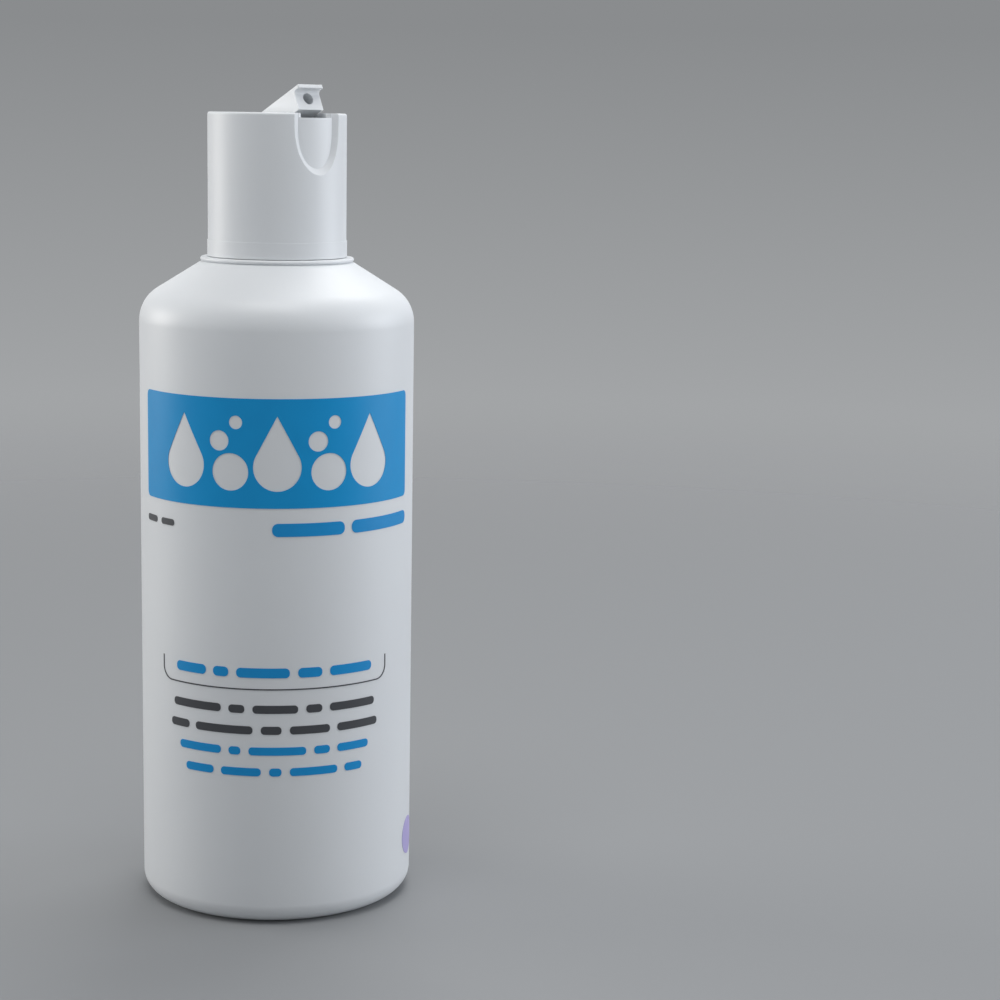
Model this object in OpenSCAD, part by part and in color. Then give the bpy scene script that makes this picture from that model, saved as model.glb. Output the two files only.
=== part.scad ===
// Liquid soap bottle with a screw closure and a swivel spout, in millimetres.
// The bottle stands on z = 0 with its axis on Z, and its printed front faces -Y.
// A closure's own plan has its spout towards -Y, and cap_turn then turns it about Z.

/* [Bottle] */
// Outer diameter of the bottle's body
body_d = 68; // [58:1:80]
// Height at which the straight wall ends and the shoulder begins
straight_h = 145.2; // [132:0.2:170]
// Radius of the rounded heel around the base
heel_r = 5; // [3:0.5:8]
// Radius of the rounding between the wall and the shoulder's cone
shoulder_r = 9.6; // [6:0.2:12]
// Rise from the end of the straight wall to the bead under the closure
shoulder_rise = 15; // [13:0.2:22]
// Wall of the blown bottle
wall_t = 1.1; // [0.8:0.1:1.6]
// Wall of the base
base_t = 1.3; // [1:0.1:2.2]
// Width of the flat ring that the bottle stands on
foot_w = 4; // [2:0.5:7]
// Height of the hollow pushed up into the base
pushup_h = 2.4; // [1:0.2:4]
// Width of the weld line that the blow mould pinches across the base
pinch_w = 0.8; // [0.4:0.1:1.5]

/* [Neck] */
// How far the bead stands out past the closure's skirt
bead_out = 1.9; // [0.6:0.1:3]
// Thickness of the bead
bead_t = 1; // [0.6:0.1:1.4]
// Height of the neck's rim above the bead
neck_h = 18.3; // [16:0.1:19]
// Wall of the neck between its bore and the root of its thread
neck_t = 1.3; // [1:0.1:1.8]
// Rise of the thread in one turn
thread_pitch = 4; // [3.6:0.1:4.4]
// Radial depth of the thread's ridges
thread_depth = 0.8; // [0.5:0.05:0.9]
// Turns of ridge on the neck and in the skirt
thread_turns = 1.25; // [1:0.25:1.5]
// Radial clearance between a ridge's crest and the wall that it runs along
thread_gap = 0.25; // [0.15:0.05:0.4]

/* [Closure] */
// Outer diameter of the closure's skirt
cap_d = 34.1; // [33:0.1:38]
// Height of the closure from its foot to its deck
cap_h = 35; // [31:0.5:42]
// Wall of the skirt
skirt_t = 1.45; // [1.3:0.05:1.7]
// Thickness of the deck
deck_t = 1.3; // [1:0.1:1.8]
// Radius of the rounded edge between the skirt and the deck
cap_edge_r = 0.55; // [0.2:0.05:0.9]
// Height of the slightly wider band at the skirt's foot
band_h = 4; // [2:0.5:8]
// How far that band stands out from the skirt
band_out = 0.17; // [0.05:0.02:0.5]
// Clearance between the skirt's foot and the bead
foot_gap = 0.15; // [0.1:0.05:0.4]
// Turn of the tightened closure away from the bottle's front, in degrees
cap_turn = 37; // [0:0.5:90]
// Thickness of the foam liner between the neck's rim and the sealing tube
liner_t = 1.2; // [0.8:0.1:1.8]
// How far the liner reaches in past the neck's bore
liner_lap = 1; // [0.4:0.1:1.6]
// Radial clearance between the liner and the skirt's thread
liner_gap = 0.2; // [0.1:0.05:0.4]

/* [Pocket] */
// Wall around the pocket that the spout folds into
pocket_t = 1.1; // [0.8:0.05:1.3]
// Wall between the pocket's front end and the finger scoop
front_wall_t = 0.95; // [0.8:0.05:1.4]
// Clearance between each side of the spout and the pocket
side_gap = 0.12; // [0.05:0.01:0.2]
// Clearance under the folded spout
floor_gap = 0.3; // [0.15:0.05:0.6]
// Clearance behind the drum
back_gap = 0.3; // [0.15:0.05:0.5]
// Least clearance in front of the spout's end face as it swings past
end_gap = 0.3; // [0.15:0.05:0.6]
// Clearance under the finger lip of the folded spout
lip_gap = 0.2; // [0.1:0.05:0.4]
// Width of the land between the flared ledge and each side of the finger scoop
ledge_land = 0.2; // [0.1:0.05:0.5]
// Clearance between the drum and its seat
seat_gap = 0.06; // [0.03:0.01:0.1]
// Clearance around a trunnion in its bearing
spin_gap = 0.05; // [0.02:0.01:0.08]
// Width of the throat that a trunnion snaps through
throat_w = 2.1; // [1.9:0.05:2.2]
// Width of the bearing's mouth in the deck
mouth_w = 2.55; // [2.4:0.05:3]
// Depth at which the mouth has narrowed to the throat
mouth_depth = 1.2; // [0.6:0.1:1.6]
// Width of the springy tongue behind the drum
tongue_w = 4.2; // [3:0.1:4.8]
// Length of the relief slits beside the tongue
slit_l = 2.6; // [1.5:0.1:3.2]
// Width of each relief slit
slit_w = 1.6; // [0.8:0.1:1.6]

/* [Finger scoop] */
// Depth of the scoop's floor below the skirt
scoop_depth = 1.2; // [0.8:0.05:1.4]
// Width of the scoop at the skirt's surface
scoop_w = 13.4; // [12:0.1:14.4]
// Width of the scoop's floor
scoop_floor_w = 10.3; // [9.6:0.1:11.2]
// Depth of the scoop's lower edge below the deck
scoop_drop = 14.8; // [13:0.1:16]
// Height over which the scoop's sides close in towards its foot
scoop_round_h = 10.4; // [7:0.2:11]
// Height of the bevel below the scoop's floor
scoop_bevel_h = 1.55; // [0.8:0.05:2.2]

/* [Spout] */
// Width of the spout
spout_w = 7.5; // [6:0.1:8]
// Depth of the pivot below the deck
pivot_depth = 3.5; // [3.1:0.1:4]
// Distance of the pivot behind the closure's axis
pivot_back = 1.1; // [0:0.1:2]
// How far the folded spout's top lies below the deck
flush_gap = 0.05; // [0:0.01:0.2]
// Depth of the spout's underside below its pivot
spout_under = 2.2; // [1.9:0.1:2.6]
// Length of the finger lip past the spout's end face
lip_l = 2.05; // [1.2:0.05:2.4]
// Thickness of the finger lip
lip_t = 0.87; // [0.6:0.01:1.1]
// Radius of the hollow under the finger lip
lip_fillet_r = 0.9; // [0.4:0.05:1.2]
// Radius of the spout's rounded edges
spout_edge_r = 0.25; // [0.1:0.05:0.4]
// Diameter of the spout's bore and of the orifice under it
bore_d = 2.9; // [2:0.1:3.2]
// Height of the bore's axis above the pivot
bore_up = 0.65; // [0.3:0.05:0.8]
// Diameter of the two trunnions
trunnion_d = 2.3; // [2.25:0.05:2.6]
// Length of each trunnion
trunnion_l = 1.1; // [0.6:0.05:1.4]
// Angle by which the spout stands raised out of its pocket, in degrees
raise_angle = 24.7; // [0:0.1:90]

/* [Print] */
// Thickness of an ink film
ink_t = 0.1; // [0.05:0.01:0.2]
// Height of the blue panel's lower edge
panel_z = 103.5; // [90:0.5:105]
// Height of the blue panel
panel_h = 26.2; // [22:0.2:27]
// Angle that the blue panel takes of the wall, in degrees
panel_angle = 134; // [124:1:150]
// Radius of the blue panel's corners
panel_corner_r = 1.4; // [1:0.2:4]
// Height of the drops that are left bare in the panel
drop_h = 18; // [14:0.2:19]
// Distance from one drop or bubble group to the next
drop_pitch = 12; // [11:0.2:13]
// Diameter of the lilac disc
disc_d = 9.7; // [6:0.1:12]
// Height of the lilac disc's centre
disc_z = 14.7; // [12:0.1:20]
// Turn of the lilac disc away from the front, in degrees
disc_turn = 76; // [60:1:100]
// Height of the wide line below the panel
title_z = 98.3; // [96:0.1:99]
// Height of the bars in the wide line
title_h = 3.2; // [2:0.1:4]
// Height of the bars in the small line across from it
note_h = 1.6; // [1:0.1:2.4]
// Height of the heading above the frame's line
heading_z = 63.4; // [62.5:0.1:64.5]
// Height of the bars in the heading
heading_h = 2.4; // [1.6:0.1:3]
// Height of the uppermost text line
text_z = 54.4; // [51:0.1:56]
// Distance from one text line to the next
line_pitch = 5.2; // [4:0.1:6]
// Height of the bars in a text line
line_h = 2; // [1.4:0.1:2.6]
// Width of one letter in a bar, which stands for a word
letter_w = 1; // [0.8:0.02:1.04]
// Gap between two bars
word_gap = 2; // [1:0.1:2.6]
// Distance of the lower lines' and the frame's middle from the front, along the wall
text_s = -1; // [-2:0.1:2]
// Width of the thin line that frames the lower lines
tray_line_w = 0.3; // [0.2:0.05:0.6]
// Width of that frame along the wall
tray_w = 62.6; // [56:0.2:70]
// Height of the frame's lower edge
tray_z = 59.2; // [57:0.1:60]
// Height of the frame's upright ends
tray_h = 6; // [4.5:0.1:7]
// Radius of the frame's corners
tray_corner_r = 3.4; // [2:0.1:4]

/* [Hidden] */

ROUND_FN = 128;
BEVEL_FN = 64;
THREAD_STEPS = 32;
// Length by which a cut runs past the face it opens, and by which fused pieces sink into each other
PAST = 1;
FUSE = 0.2;
// How far a corner's circle passes beyond the edges that it joins
CROSS = 0.03;

// Bottle: the shoulder's cone runs tangent from its rounding to the bead
body_r = body_d / 2;
bead_z = straight_h + shoulder_rise;
bead_top = bead_z + bead_t;
rim_z = bead_top + neck_h;
cap_r = cap_d / 2;
bead_r = cap_r + bead_out;
cone_top_r = bead_r - bead_t / 2;
shoulder_c = [body_r - shoulder_r, straight_h];
to_bead = [cone_top_r, bead_z] - shoulder_c;
tangent_angle = atan2(to_bead[1], to_bead[0]) - acos(shoulder_r / norm(to_bead));
foot_in_r = body_r - heel_r - foot_w;
pushup_r = (foot_in_r * foot_in_r + pushup_h * pushup_h) / (2 * pushup_h);
pushup_c = pushup_h - pushup_r;

// Neck and skirt: everything follows from the skirt's bore
skirt_bore_r = cap_r - skirt_t;
neck_root_r = skirt_bore_r - thread_gap - thread_depth;
neck_bore_r = neck_root_r - neck_t;
cap_foot_z = bead_top + foot_gap;
deck_z = cap_foot_z + cap_h;
deck_under_z = deck_z - deck_t;
liner_top_z = rim_z + liner_t;
liner_out_r = skirt_bore_r - thread_depth - liner_gap;
liner_in_r = neck_bore_r - liner_lap;
ridge_root_w = thread_pitch * 0.5;
ridge_crest_w = thread_pitch * 0.24;
ridge_run = thread_pitch * thread_turns;
neck_ridge_z = rim_z - ridge_run - thread_pitch;
skirt_ridge_z = neck_ridge_z - thread_pitch / 2;

// Spout, in its own frame: pivot at the origin, folded, spout towards -Y
spout_top = pivot_depth - flush_gap;
drum_r = spout_top;
pocket_half = spout_w / 2 + side_gap;
pocket_front_r = cap_r - scoop_depth - front_wall_t;
// Reach of the spout's lower front corner as it swings, and the end face that keeps it clear
swing_r = sqrt(pow(pocket_front_r, 2) - pow(spout_w / 2, 2)) - end_gap + pivot_back;
spout_l = sqrt(swing_r * swing_r - spout_under * spout_under);
lip_end = spout_l + lip_l;
trunnion_r = trunnion_d / 2;

// Pocket
floor_depth = pivot_depth + spout_under + floor_gap;
pocket_back = pivot_back + drum_r + back_gap;
seat_r = drum_r + seat_gap;
bearing_r = trunnion_r + spin_gap;
bearing_l = trunnion_l;
block_back = pocket_back + slit_l + pocket_t;
bearing_half = pocket_half + bearing_l + pocket_t;
lip_seat_depth = flush_gap + lip_t + lip_gap;

// Finger scoop: its bevelled sides run on past the skirt in a straight line
scoop_floor_r = cap_r - scoop_depth;
scoop_floor_f = sqrt(pow(scoop_floor_r, 2) - pow(scoop_floor_w / 2, 2));
scoop_edge_f = sqrt(pow(cap_r, 2) - pow(scoop_w / 2, 2));
scoop_side_slope = (scoop_w - scoop_floor_w) / 2 / (scoop_edge_f - scoop_floor_f);
scoop_foot_slope = scoop_bevel_h / scoop_depth;
scoop_near_f = scoop_floor_f - FUSE;
scoop_far_f = cap_r + FUSE;
scoop_stretch = scoop_round_h / (scoop_w / 2);
// Half width of the scoop in an upright plane ahead of the axis, and the depth below the deck at
// which its upright sides close in there as half an ellipse
function scoop_half(f) = scoop_floor_w / 2 + scoop_side_slope * (f - scoop_floor_f);
function scoop_round(f) = scoop_drop - scoop_foot_slope * (cap_r - f) - scoop_stretch * scoop_half(f);
scoop_top = PAST + max(0, -scoop_round(scoop_far_f));

// Print: an arc length on the wall as an angle, and letters in the words of each line
function wall_angle(s) = s / body_r * 180 / PI;
panel_half = panel_angle / 2 * PI / 180 * body_r;
title_words = [18, 21];
note_words = [5, 5];
heading_words = [9, 4, 13, 6, 12];
text_words = [[14, 4, 11, 4, 13], [6, 15, 5, 10, 12], [12, 3, 14, 4, 9], [8, 10, 3, 12, 5]];
function row_length(words) = len(words) == 0 ? 0
    : letter_w * words * [for (w = words) 1] + word_gap * (len(words) - 1);

// Bottle

// Half section of the blown body from its floor to the bead, drawn in by a wall's thickness
module body_section(inset, floor_z, top_z) {
    heel = heel_r - inset;
    side_r = body_r - inset;
    tangent_r = shoulder_r - inset;
    tangent = shoulder_c + tangent_r * [cos(tangent_angle), sin(tangent_angle)];
    // Where the cone reaches top_z
    end_r = tangent[0] - (top_z - tangent[1]) * tan(tangent_angle);
    difference() {
        translate([0, floor_z]) square([side_r, straight_h - floor_z]);
        translate([side_r - heel, floor_z - PAST]) difference() {
            square([heel + PAST, heel + PAST]);
            translate([0, heel + PAST]) circle(r = heel, $fn = ROUND_FN);
        }
    }
    intersection() {
        translate(shoulder_c) circle(r = tangent_r, $fn = ROUND_FN);
        translate([0, floor_z]) square([side_r, top_z - floor_z]);
    }
    polygon([[0, straight_h - PAST], [shoulder_c[0], straight_h - PAST], shoulder_c, tangent, [end_r, top_z], [0, top_z]]);
}

// Outer half section of the bottle, with its bead and neck
module bottle_outside() {
    difference() {
        body_section(0, 0, bead_z);
        translate([0, pushup_c]) circle(r = pushup_r, $fn = ROUND_FN);
    }
    translate([0, bead_z - FUSE]) square([cone_top_r, bead_t + FUSE]);
    translate([bead_r - bead_t / 2, bead_z + bead_t / 2]) circle(d = bead_t, $fn = ROUND_FN);
    translate([0, bead_z]) square([neck_root_r, bead_t + neck_h]);
}

// Inner half section of the bottle, open at the rim
module bottle_inside() {
    difference() {
        body_section(wall_t, base_t, bead_top - wall_t);
        translate([0, pushup_c]) circle(r = pushup_r + base_t, $fn = ROUND_FN);
    }
    translate([0, straight_h]) square([neck_bore_r, rim_z - straight_h + PAST]);
}

// Weld line across the base, where the mould pinched the parison shut
module pinch_line() {
    intersection() {
        translate([-foot_in_r, -pinch_w / 2, 0]) cube([foot_in_r * 2, pinch_w, pushup_h + base_t]);
        translate([0, 0, pushup_c]) difference() {
            sphere(r = pushup_r + FUSE, $fn = ROUND_FN);
            sphere(r = pushup_r - pinch_w / 3, $fn = ROUND_FN);
        }
    }
}

// One screw ridge swept along a helix, with its height run in and out over its end turns.
// side is 1 for a ridge that stands outwards and -1 for one that stands inwards.
module screw_ridge(root_r, side) {
    steps = round(THREAD_STEPS * thread_turns);
    lead = THREAD_STEPS / 8;
    points = [for (i = [0:steps])
        let (
            a = 360 * thread_turns * i / steps,
            z = ridge_run * i / steps,
            h = thread_depth * min(1, i / lead, (steps - i) / lead),
            in_r = root_r - side * FUSE,
            out_r = root_r + side * h
        )
        for (p = [[in_r, -ridge_root_w / 2], [out_r, -ridge_crest_w / 2], [out_r, ridge_crest_w / 2], [in_r, ridge_root_w / 2]])
            [p[0] * cos(a), p[0] * sin(a), z + p[1]]];
    around = [for (i = [0:steps - 1], k = [0:3])
        let (a = 4 * i + k, b = 4 * i + (k + 1) % 4)
        each side > 0 ? [[a, b, b + 4], [a, b + 4, a + 4]] : [[a, b + 4, b], [a, a + 4, b + 4]]];
    last = 4 * steps;
    ends = side > 0
        ? [[3, 2, 1, 0], [last, last + 1, last + 2, last + 3]]
        : [[0, 1, 2, 3], [last + 3, last + 2, last + 1, last]];
    polyhedron(points = points, faces = concat(around, ends), convexity = 6);
}

module bottle() {
    color("white") {
        rotate_extrude($fn = ROUND_FN) difference() {
            bottle_outside();
            bottle_inside();
        }
        pinch_line();
        translate([0, 0, neck_ridge_z]) screw_ridge(neck_root_r, 1);
    }
}

// Closure

// Places what is drawn in the closure's own plan, with z measured down from the deck
module on_deck() {
    rotate([0, 0, cap_turn]) translate([0, 0, deck_z]) children();
}

// A box in the closure's plan: half width, from and to ahead of the axis, from and to above the deck
module plan_box(half, f0, f1, z0, z1) {
    translate([-half, -f1, z0]) cube([2 * half, f1 - f0, z1 - z0]);
}

// A horizontal cylinder across the closure at its pivot
module across_pivot(r, half) {
    translate([0, pivot_back, -pivot_depth]) rotate([0, 90, 0])
        cylinder(r = r, h = 2 * half, center = true, $fn = ROUND_FN);
}

// Skirt with its band, and the deck with its rounded edge
module skirt_and_deck() {
    translate([0, 0, cap_foot_z]) rotate_extrude($fn = ROUND_FN) difference() {
        union() {
            difference() {
                square([cap_r, cap_h]);
                translate([cap_r - cap_edge_r, cap_h - cap_edge_r]) difference() {
                    square([PAST + cap_edge_r, PAST + cap_edge_r]);
                    circle(r = cap_edge_r, $fn = ROUND_FN);
                }
            }
            square([cap_r + band_out, band_h - band_out]);
            translate([0, band_h - band_out]) intersection() {
                square([cap_r + band_out, band_out]);
                translate([cap_r, 0]) rotate([0, 0, 45]) square(sqrt(2) * cap_r, center = true);
                translate([0, -cap_r]) square([cap_r + band_out, 2 * cap_r]);
            }
        }
        translate([0, -PAST]) square([skirt_bore_r, cap_h - deck_t + PAST]);
    }
}

// Tube from the deck down to the liner, which it presses on the neck's rim
module sealing_tube() {
    translate([0, 0, liner_top_z]) difference() {
        cylinder(r = neck_root_r, h = deck_under_z - liner_top_z + FUSE, $fn = ROUND_FN);
        translate([0, 0, -PAST]) cylinder(r = neck_bore_r, h = deck_under_z - liner_top_z + 2 * PAST, $fn = ROUND_FN);
    }
}

// Walls and floor of the pocket, its bearing blocks and the hub round the drum's seat
module pocket_body() {
    intersection() {
        union() {
            plan_box(pocket_half + pocket_t, -block_back, cap_r, -floor_depth - pocket_t, -deck_t + FUSE);
            plan_box(bearing_half, -pivot_back - bearing_r - pocket_t, -pivot_back + bearing_r + pocket_t,
                -pivot_depth - bearing_r - pocket_t, -deck_t + FUSE);
            across_pivot(seat_r + pocket_t, pocket_half + pocket_t);
        }
        translate([0, 0, -cap_h]) cylinder(r = skirt_bore_r + FUSE, h = cap_h, $fn = ROUND_FN);
    }
}

// The skirt's inner side follows the scoop, so that the wall keeps its strength there
module scoop_backing() {
    intersection() {
        plan_box(scoop_w / 2 + pocket_t, 0, cap_r, -scoop_drop - scoop_depth, -deck_t + FUSE);
        translate([0, 0, -cap_h]) difference() {
            cylinder(r = skirt_bore_r + FUSE, h = cap_h, $fn = ROUND_FN);
            translate([0, 0, -PAST]) cylinder(r = pocket_front_r, h = cap_h + 2 * PAST, $fn = ROUND_FN);
        }
    }
}

// Hollow of the pocket with the drum's seat and the orifice below it
module pocket_hollow() {
    intersection() {
        plan_box(pocket_half, -pocket_back, cap_r, -floor_depth, PAST);
        translate([0, 0, -cap_h]) cylinder(r = pocket_front_r, h = cap_h + 2 * PAST, $fn = ROUND_FN);
    }
    across_pivot(seat_r, pocket_half);
    translate([0, pivot_back + bore_up, -pivot_depth - seat_r - pocket_t - PAST])
        cylinder(d = bore_d, h = seat_r + pocket_t + PAST, $fn = ROUND_FN);
}

// One snap-in bearing: a round seat, a throat narrower than the trunnion, and a flared mouth
module bearing(side) {
    translate([side > 0 ? pocket_half - FUSE : -pocket_half - bearing_l, pivot_back, -pivot_depth])
        rotate([90, 0, 90]) linear_extrude(bearing_l + FUSE) {
            circle(r = bearing_r, $fn = ROUND_FN);
            polygon([
                [-throat_w / 2, 0], [throat_w / 2, 0],
                [throat_w / 2, pivot_depth - mouth_depth], [mouth_w / 2, pivot_depth - FUSE], [mouth_w / 2, pivot_depth + PAST],
                [-mouth_w / 2, pivot_depth + PAST], [-mouth_w / 2, pivot_depth - FUSE], [-throat_w / 2, pivot_depth - mouth_depth]
            ]);
        }
}

// One relief slit, which leaves the tongue free at its side
module relief_slit(side) {
    translate([side > 0 ? tongue_w / 2 : -tongue_w / 2 - slit_w, pocket_back - FUSE, -floor_depth])
        cube([slit_w, slit_l + FUSE, floor_depth + PAST]);
}

// Ledge that the finger lip folds onto, flaring outwards to a narrow land inside the scoop's sides
module lip_ledge() {
    corner_f = sqrt(pow(pocket_front_r, 2) - pow(pocket_half, 2));
    mouth_half = scoop_floor_w / 2 - ledge_land;
    translate([0, 0, -lip_seat_depth]) linear_extrude(lip_seat_depth + PAST) polygon([
        [-pocket_half, -corner_f + PAST], [-pocket_half, -corner_f],
        [-mouth_half, -scoop_floor_f], [-mouth_half, -scoop_far_f],
        [mouth_half, -scoop_far_f], [mouth_half, -scoop_floor_f],
        [pocket_half, -corner_f], [pocket_half, -corner_f + PAST]
    ]);
}

// Bevelled hollow of the scoop, down to a floor that runs round the closure's axis.
// Its sides and foot are one cone, stretched in height and sheared, so that its foot rises less
// steeply than its sides.
module scoop() {
    shear = (scoop_round(scoop_far_f) - scoop_round(scoop_near_f)) / (scoop_far_f - scoop_near_f);
    intersection() {
        union() {
            translate([0, 0, -scoop_round(0)]) multmatrix([[1, 0, 0, 0], [0, 1, 0, 0], [0, shear, scoop_stretch, 0], [0, 0, 0, 1]])
                translate([0, -scoop_near_f, 0]) rotate([90, 0, 0])
                    cylinder(r1 = scoop_half(scoop_near_f), r2 = scoop_half(scoop_far_f),
                        h = scoop_far_f - scoop_near_f, $fn = ROUND_FN);
            intersection() {
                translate([0, 0, -scoop_drop]) linear_extrude(scoop_drop + scoop_top) polygon([
                    [-scoop_half(scoop_near_f), -scoop_near_f], [-scoop_half(scoop_far_f), -scoop_far_f],
                    [scoop_half(scoop_far_f), -scoop_far_f], [scoop_half(scoop_near_f), -scoop_near_f]
                ]);
                translate([cap_r, 0, 0]) rotate([90, 0, -90]) linear_extrude(2 * cap_r) polygon([
                    [scoop_near_f, -scoop_round(scoop_near_f)], [scoop_far_f, -scoop_round(scoop_far_f)],
                    [scoop_far_f, scoop_top], [scoop_near_f, scoop_top]
                ]);
            }
        }
        translate([0, 0, -cap_h]) difference() {
            cylinder(r = cap_r + 2 * PAST, h = cap_h + 2 * PAST, $fn = ROUND_FN);
            translate([0, 0, -PAST]) cylinder(r = scoop_floor_r, h = cap_h + 4 * PAST, $fn = ROUND_FN);
        }
    }
}

module cap() {
    color("white") {
        difference() {
            union() {
                skirt_and_deck();
                sealing_tube();
                on_deck() pocket_body();
                on_deck() scoop_backing();
            }
            on_deck() {
                pocket_hollow();
                for (side = [-1, 1]) {
                    bearing(side);
                    relief_slit(side);
                }
                lip_ledge();
                scoop();
            }
        }
        translate([0, 0, skirt_ridge_z]) screw_ridge(skirt_bore_r, -1);
    }
}

// Spout

// Side profile: drum, shaft, end face and lip, as [ahead of the pivot, above the pivot]
module spout_profile() {
    difference() {
        union() {
            circle(r = drum_r, $fn = ROUND_FN);
            translate([0, -spout_under]) square([spout_l, spout_under + spout_top]);
            translate([0, spout_top - lip_t]) square([lip_end, lip_t]);
            translate([spout_l - FUSE, spout_top - lip_t - lip_fillet_r]) square([lip_fillet_r + FUSE, lip_fillet_r]);
        }
        translate([spout_l + lip_fillet_r, spout_top - lip_t - lip_fillet_r]) circle(r = lip_fillet_r, $fn = ROUND_FN);
    }
}

// Rectangle with rounded corners, from its lower left corner
module soft_rectangle(w, h, r) {
    translate([r, 0]) square([w - 2 * r, h]);
    translate([0, r]) square([w, h - 2 * r]);
    for (x = [r, w - r], y = [r, h - r])
        translate([x, y]) circle(r = r, $fn = BEVEL_FN);
}

// The spout folded flat, with its pivot at the origin
module folded_spout() {
    difference() {
        union() {
            intersection() {
                translate([spout_w / 2, 0, 0]) rotate([90, 0, -90])
                    linear_extrude(spout_w) spout_profile();
                translate([-spout_w / 2, drum_r + PAST, -drum_r]) rotate([90, 0, 0])
                    linear_extrude(drum_r + lip_end + 2 * PAST) soft_rectangle(spout_w, drum_r + spout_top, spout_edge_r);
                translate([-spout_w / 2, -lip_end, -drum_r - PAST])
                    linear_extrude(drum_r + spout_top + 2 * PAST) soft_rectangle(spout_w, lip_end + drum_r + PAST, spout_edge_r);
            }
            rotate([0, 90, 0]) cylinder(r = trunnion_r, h = spout_w + 2 * trunnion_l, center = true, $fn = ROUND_FN);
        }
        translate([0, drum_r + PAST, bore_up]) rotate([90, 0, 0])
            cylinder(d = bore_d, h = drum_r + spout_l + 2 * PAST, $fn = ROUND_FN);
    }
}

module spout() {
    color("white") on_deck() translate([0, pivot_back, -pivot_depth])
        rotate([-raise_angle, 0, 0]) folded_spout();
}

// Foam ring that the sealing tube presses on the neck's rim
module liner() {
    color("gainsboro") translate([0, 0, rim_z]) difference() {
        cylinder(r = liner_out_r, h = liner_t, $fn = ROUND_FN);
        translate([0, 0, -PAST]) cylinder(r = liner_in_r, h = liner_t + 2 * PAST, $fn = ROUND_FN);
    }
}

// Print

// Film of ink on the wall, between two heights and over an angle about the front.
// past lets it run on through the wall and outwards, for a cut.
module ink_band(z, h, angle, turn = 0, past = 0) {
    translate([0, 0, z]) rotate([0, 0, turn - 90 - angle / 2])
        rotate_extrude(angle = angle, $fn = ROUND_FN) translate([body_r - past, 0]) square([ink_t + 2 * past, h]);
}

// A flat shape pushed radially through the wall at an angle and a height
module through_wall(turn, z) {
    rotate([0, 0, turn]) translate([0, -body_r / 2, z]) rotate([90, 0, 0])
        linear_extrude(body_r / 2 + 2 * PAST) children();
}

// A band with rounded corners: its lower two, or all four.
// Each corner's circle crosses the two edges that it joins instead of only touching them.
module soft_band(z, h, angle, r, sides = [-1, 1], turn = 0, past = 0) {
    difference() {
        ink_band(z, h, angle, turn, past);
        for (x = [-1, 1], y = sides)
            through_wall(turn + x * (angle / 2 - wall_angle(r)), z + h / 2 + y * (h / 2 - r)) difference() {
                translate([x > 0 ? 0 : -r - PAST, y > 0 ? 0 : -r - PAST]) square(r + PAST);
                circle(r = r + CROSS, $fn = BEVEL_FN);
            }
    }
}

// A drop: a circle with two straight sides that run tangent to its tip
module drop() {
    r = drop_h * 0.32;
    touch = asin(r / (drop_h - r));
    translate([0, r]) {
        circle(r = r, $fn = ROUND_FN);
        polygon([[-r * cos(touch), r * sin(touch)], [r * cos(touch), r * sin(touch)], [0, drop_h - r]]);
    }
}

// Three bubbles in a group, as high as a drop
module bubbles() {
    translate([drop_pitch * 0.05, drop_h * 0.25]) circle(r = drop_h * 0.25, $fn = ROUND_FN);
    translate([-drop_pitch * 0.18, drop_h * 0.66]) circle(r = drop_h * 0.135, $fn = ROUND_FN);
    translate([drop_pitch * 0.17, drop_h * 0.91]) circle(r = drop_h * 0.09, $fn = ROUND_FN);
}

// Blue panel with rounded corners, in which drops and bubbles are left bare
module panel_print() {
    color("steelblue") difference() {
        soft_band(panel_z, panel_h, panel_angle, panel_corner_r);
        for (i = [-2:2])
            through_wall(wall_angle(i * drop_pitch), panel_z + (panel_h - drop_h) / 2)
                if (i % 2 == 0) drop(); else bubbles();
    }
}

// A bar with round ends, centred along the wall at s
module ink_bar(s, z, w, h) {
    intersection() {
        ink_band(z - h, 2 * h, wall_angle(w) + 6, wall_angle(s));
        through_wall(wall_angle(s), z - h / 2)
            translate([-chord(w) / 2, 0]) soft_rectangle(chord(w), h, h * 0.45);
    }
}
function chord(w) = 2 * body_r * sin(wall_angle(w) / 2);

// A line of bars with equal gaps, centred along the wall at s: one bar for each word
module bar_row(s, z, h, words) {
    for (i = [0:len(words) - 1]) {
        before = i == 0 ? [] : [for (k = [0:i - 1]) words[k]];
        start = s - row_length(words) / 2 + row_length(before) + (i == 0 ? 0 : word_gap);
        ink_bar(start + words[i] * letter_w / 2, z, words[i] * letter_w, h);
    }
}

// The wide line ends under the panel's right edge
module line_print() {
    color("steelblue") {
        bar_row(panel_half - row_length(title_words) / 2, title_z, title_h, title_words);
        bar_row(text_s, heading_z, heading_h, heading_words);
        for (i = [2, 3])
            bar_row(text_s, text_z - i * line_pitch, line_h, text_words[i]);
    }
}

// The small line starts under the panel's left edge, and a thin frame opens upwards round the heading
module text_print() {
    color("dimgray") {
        bar_row(row_length(note_words) / 2 - panel_half, title_z, note_h, note_words);
        for (i = [0, 1])
            bar_row(text_s, text_z - i * line_pitch, line_h, text_words[i]);
        tray_line();
    }
}

module tray_line() {
    difference() {
        soft_band(tray_z, tray_h, wall_angle(tray_w), tray_corner_r, sides = [-1], turn = wall_angle(text_s));
        soft_band(tray_z + tray_line_w, tray_h, wall_angle(tray_w - 2 * tray_line_w),
            tray_corner_r - tray_line_w, sides = [-1], turn = wall_angle(text_s), past = FUSE);
    }
}

module mark_print() {
    color("thistle") intersection() {
        ink_band(disc_z - disc_d, 2 * disc_d, wall_angle(disc_d) + 6, disc_turn);
        through_wall(disc_turn, disc_z) circle(d = disc_d, $fn = ROUND_FN);
    }
}

bottle();
cap();
spout();
liner();
panel_print();
line_print();
text_print();
mark_print();
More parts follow.
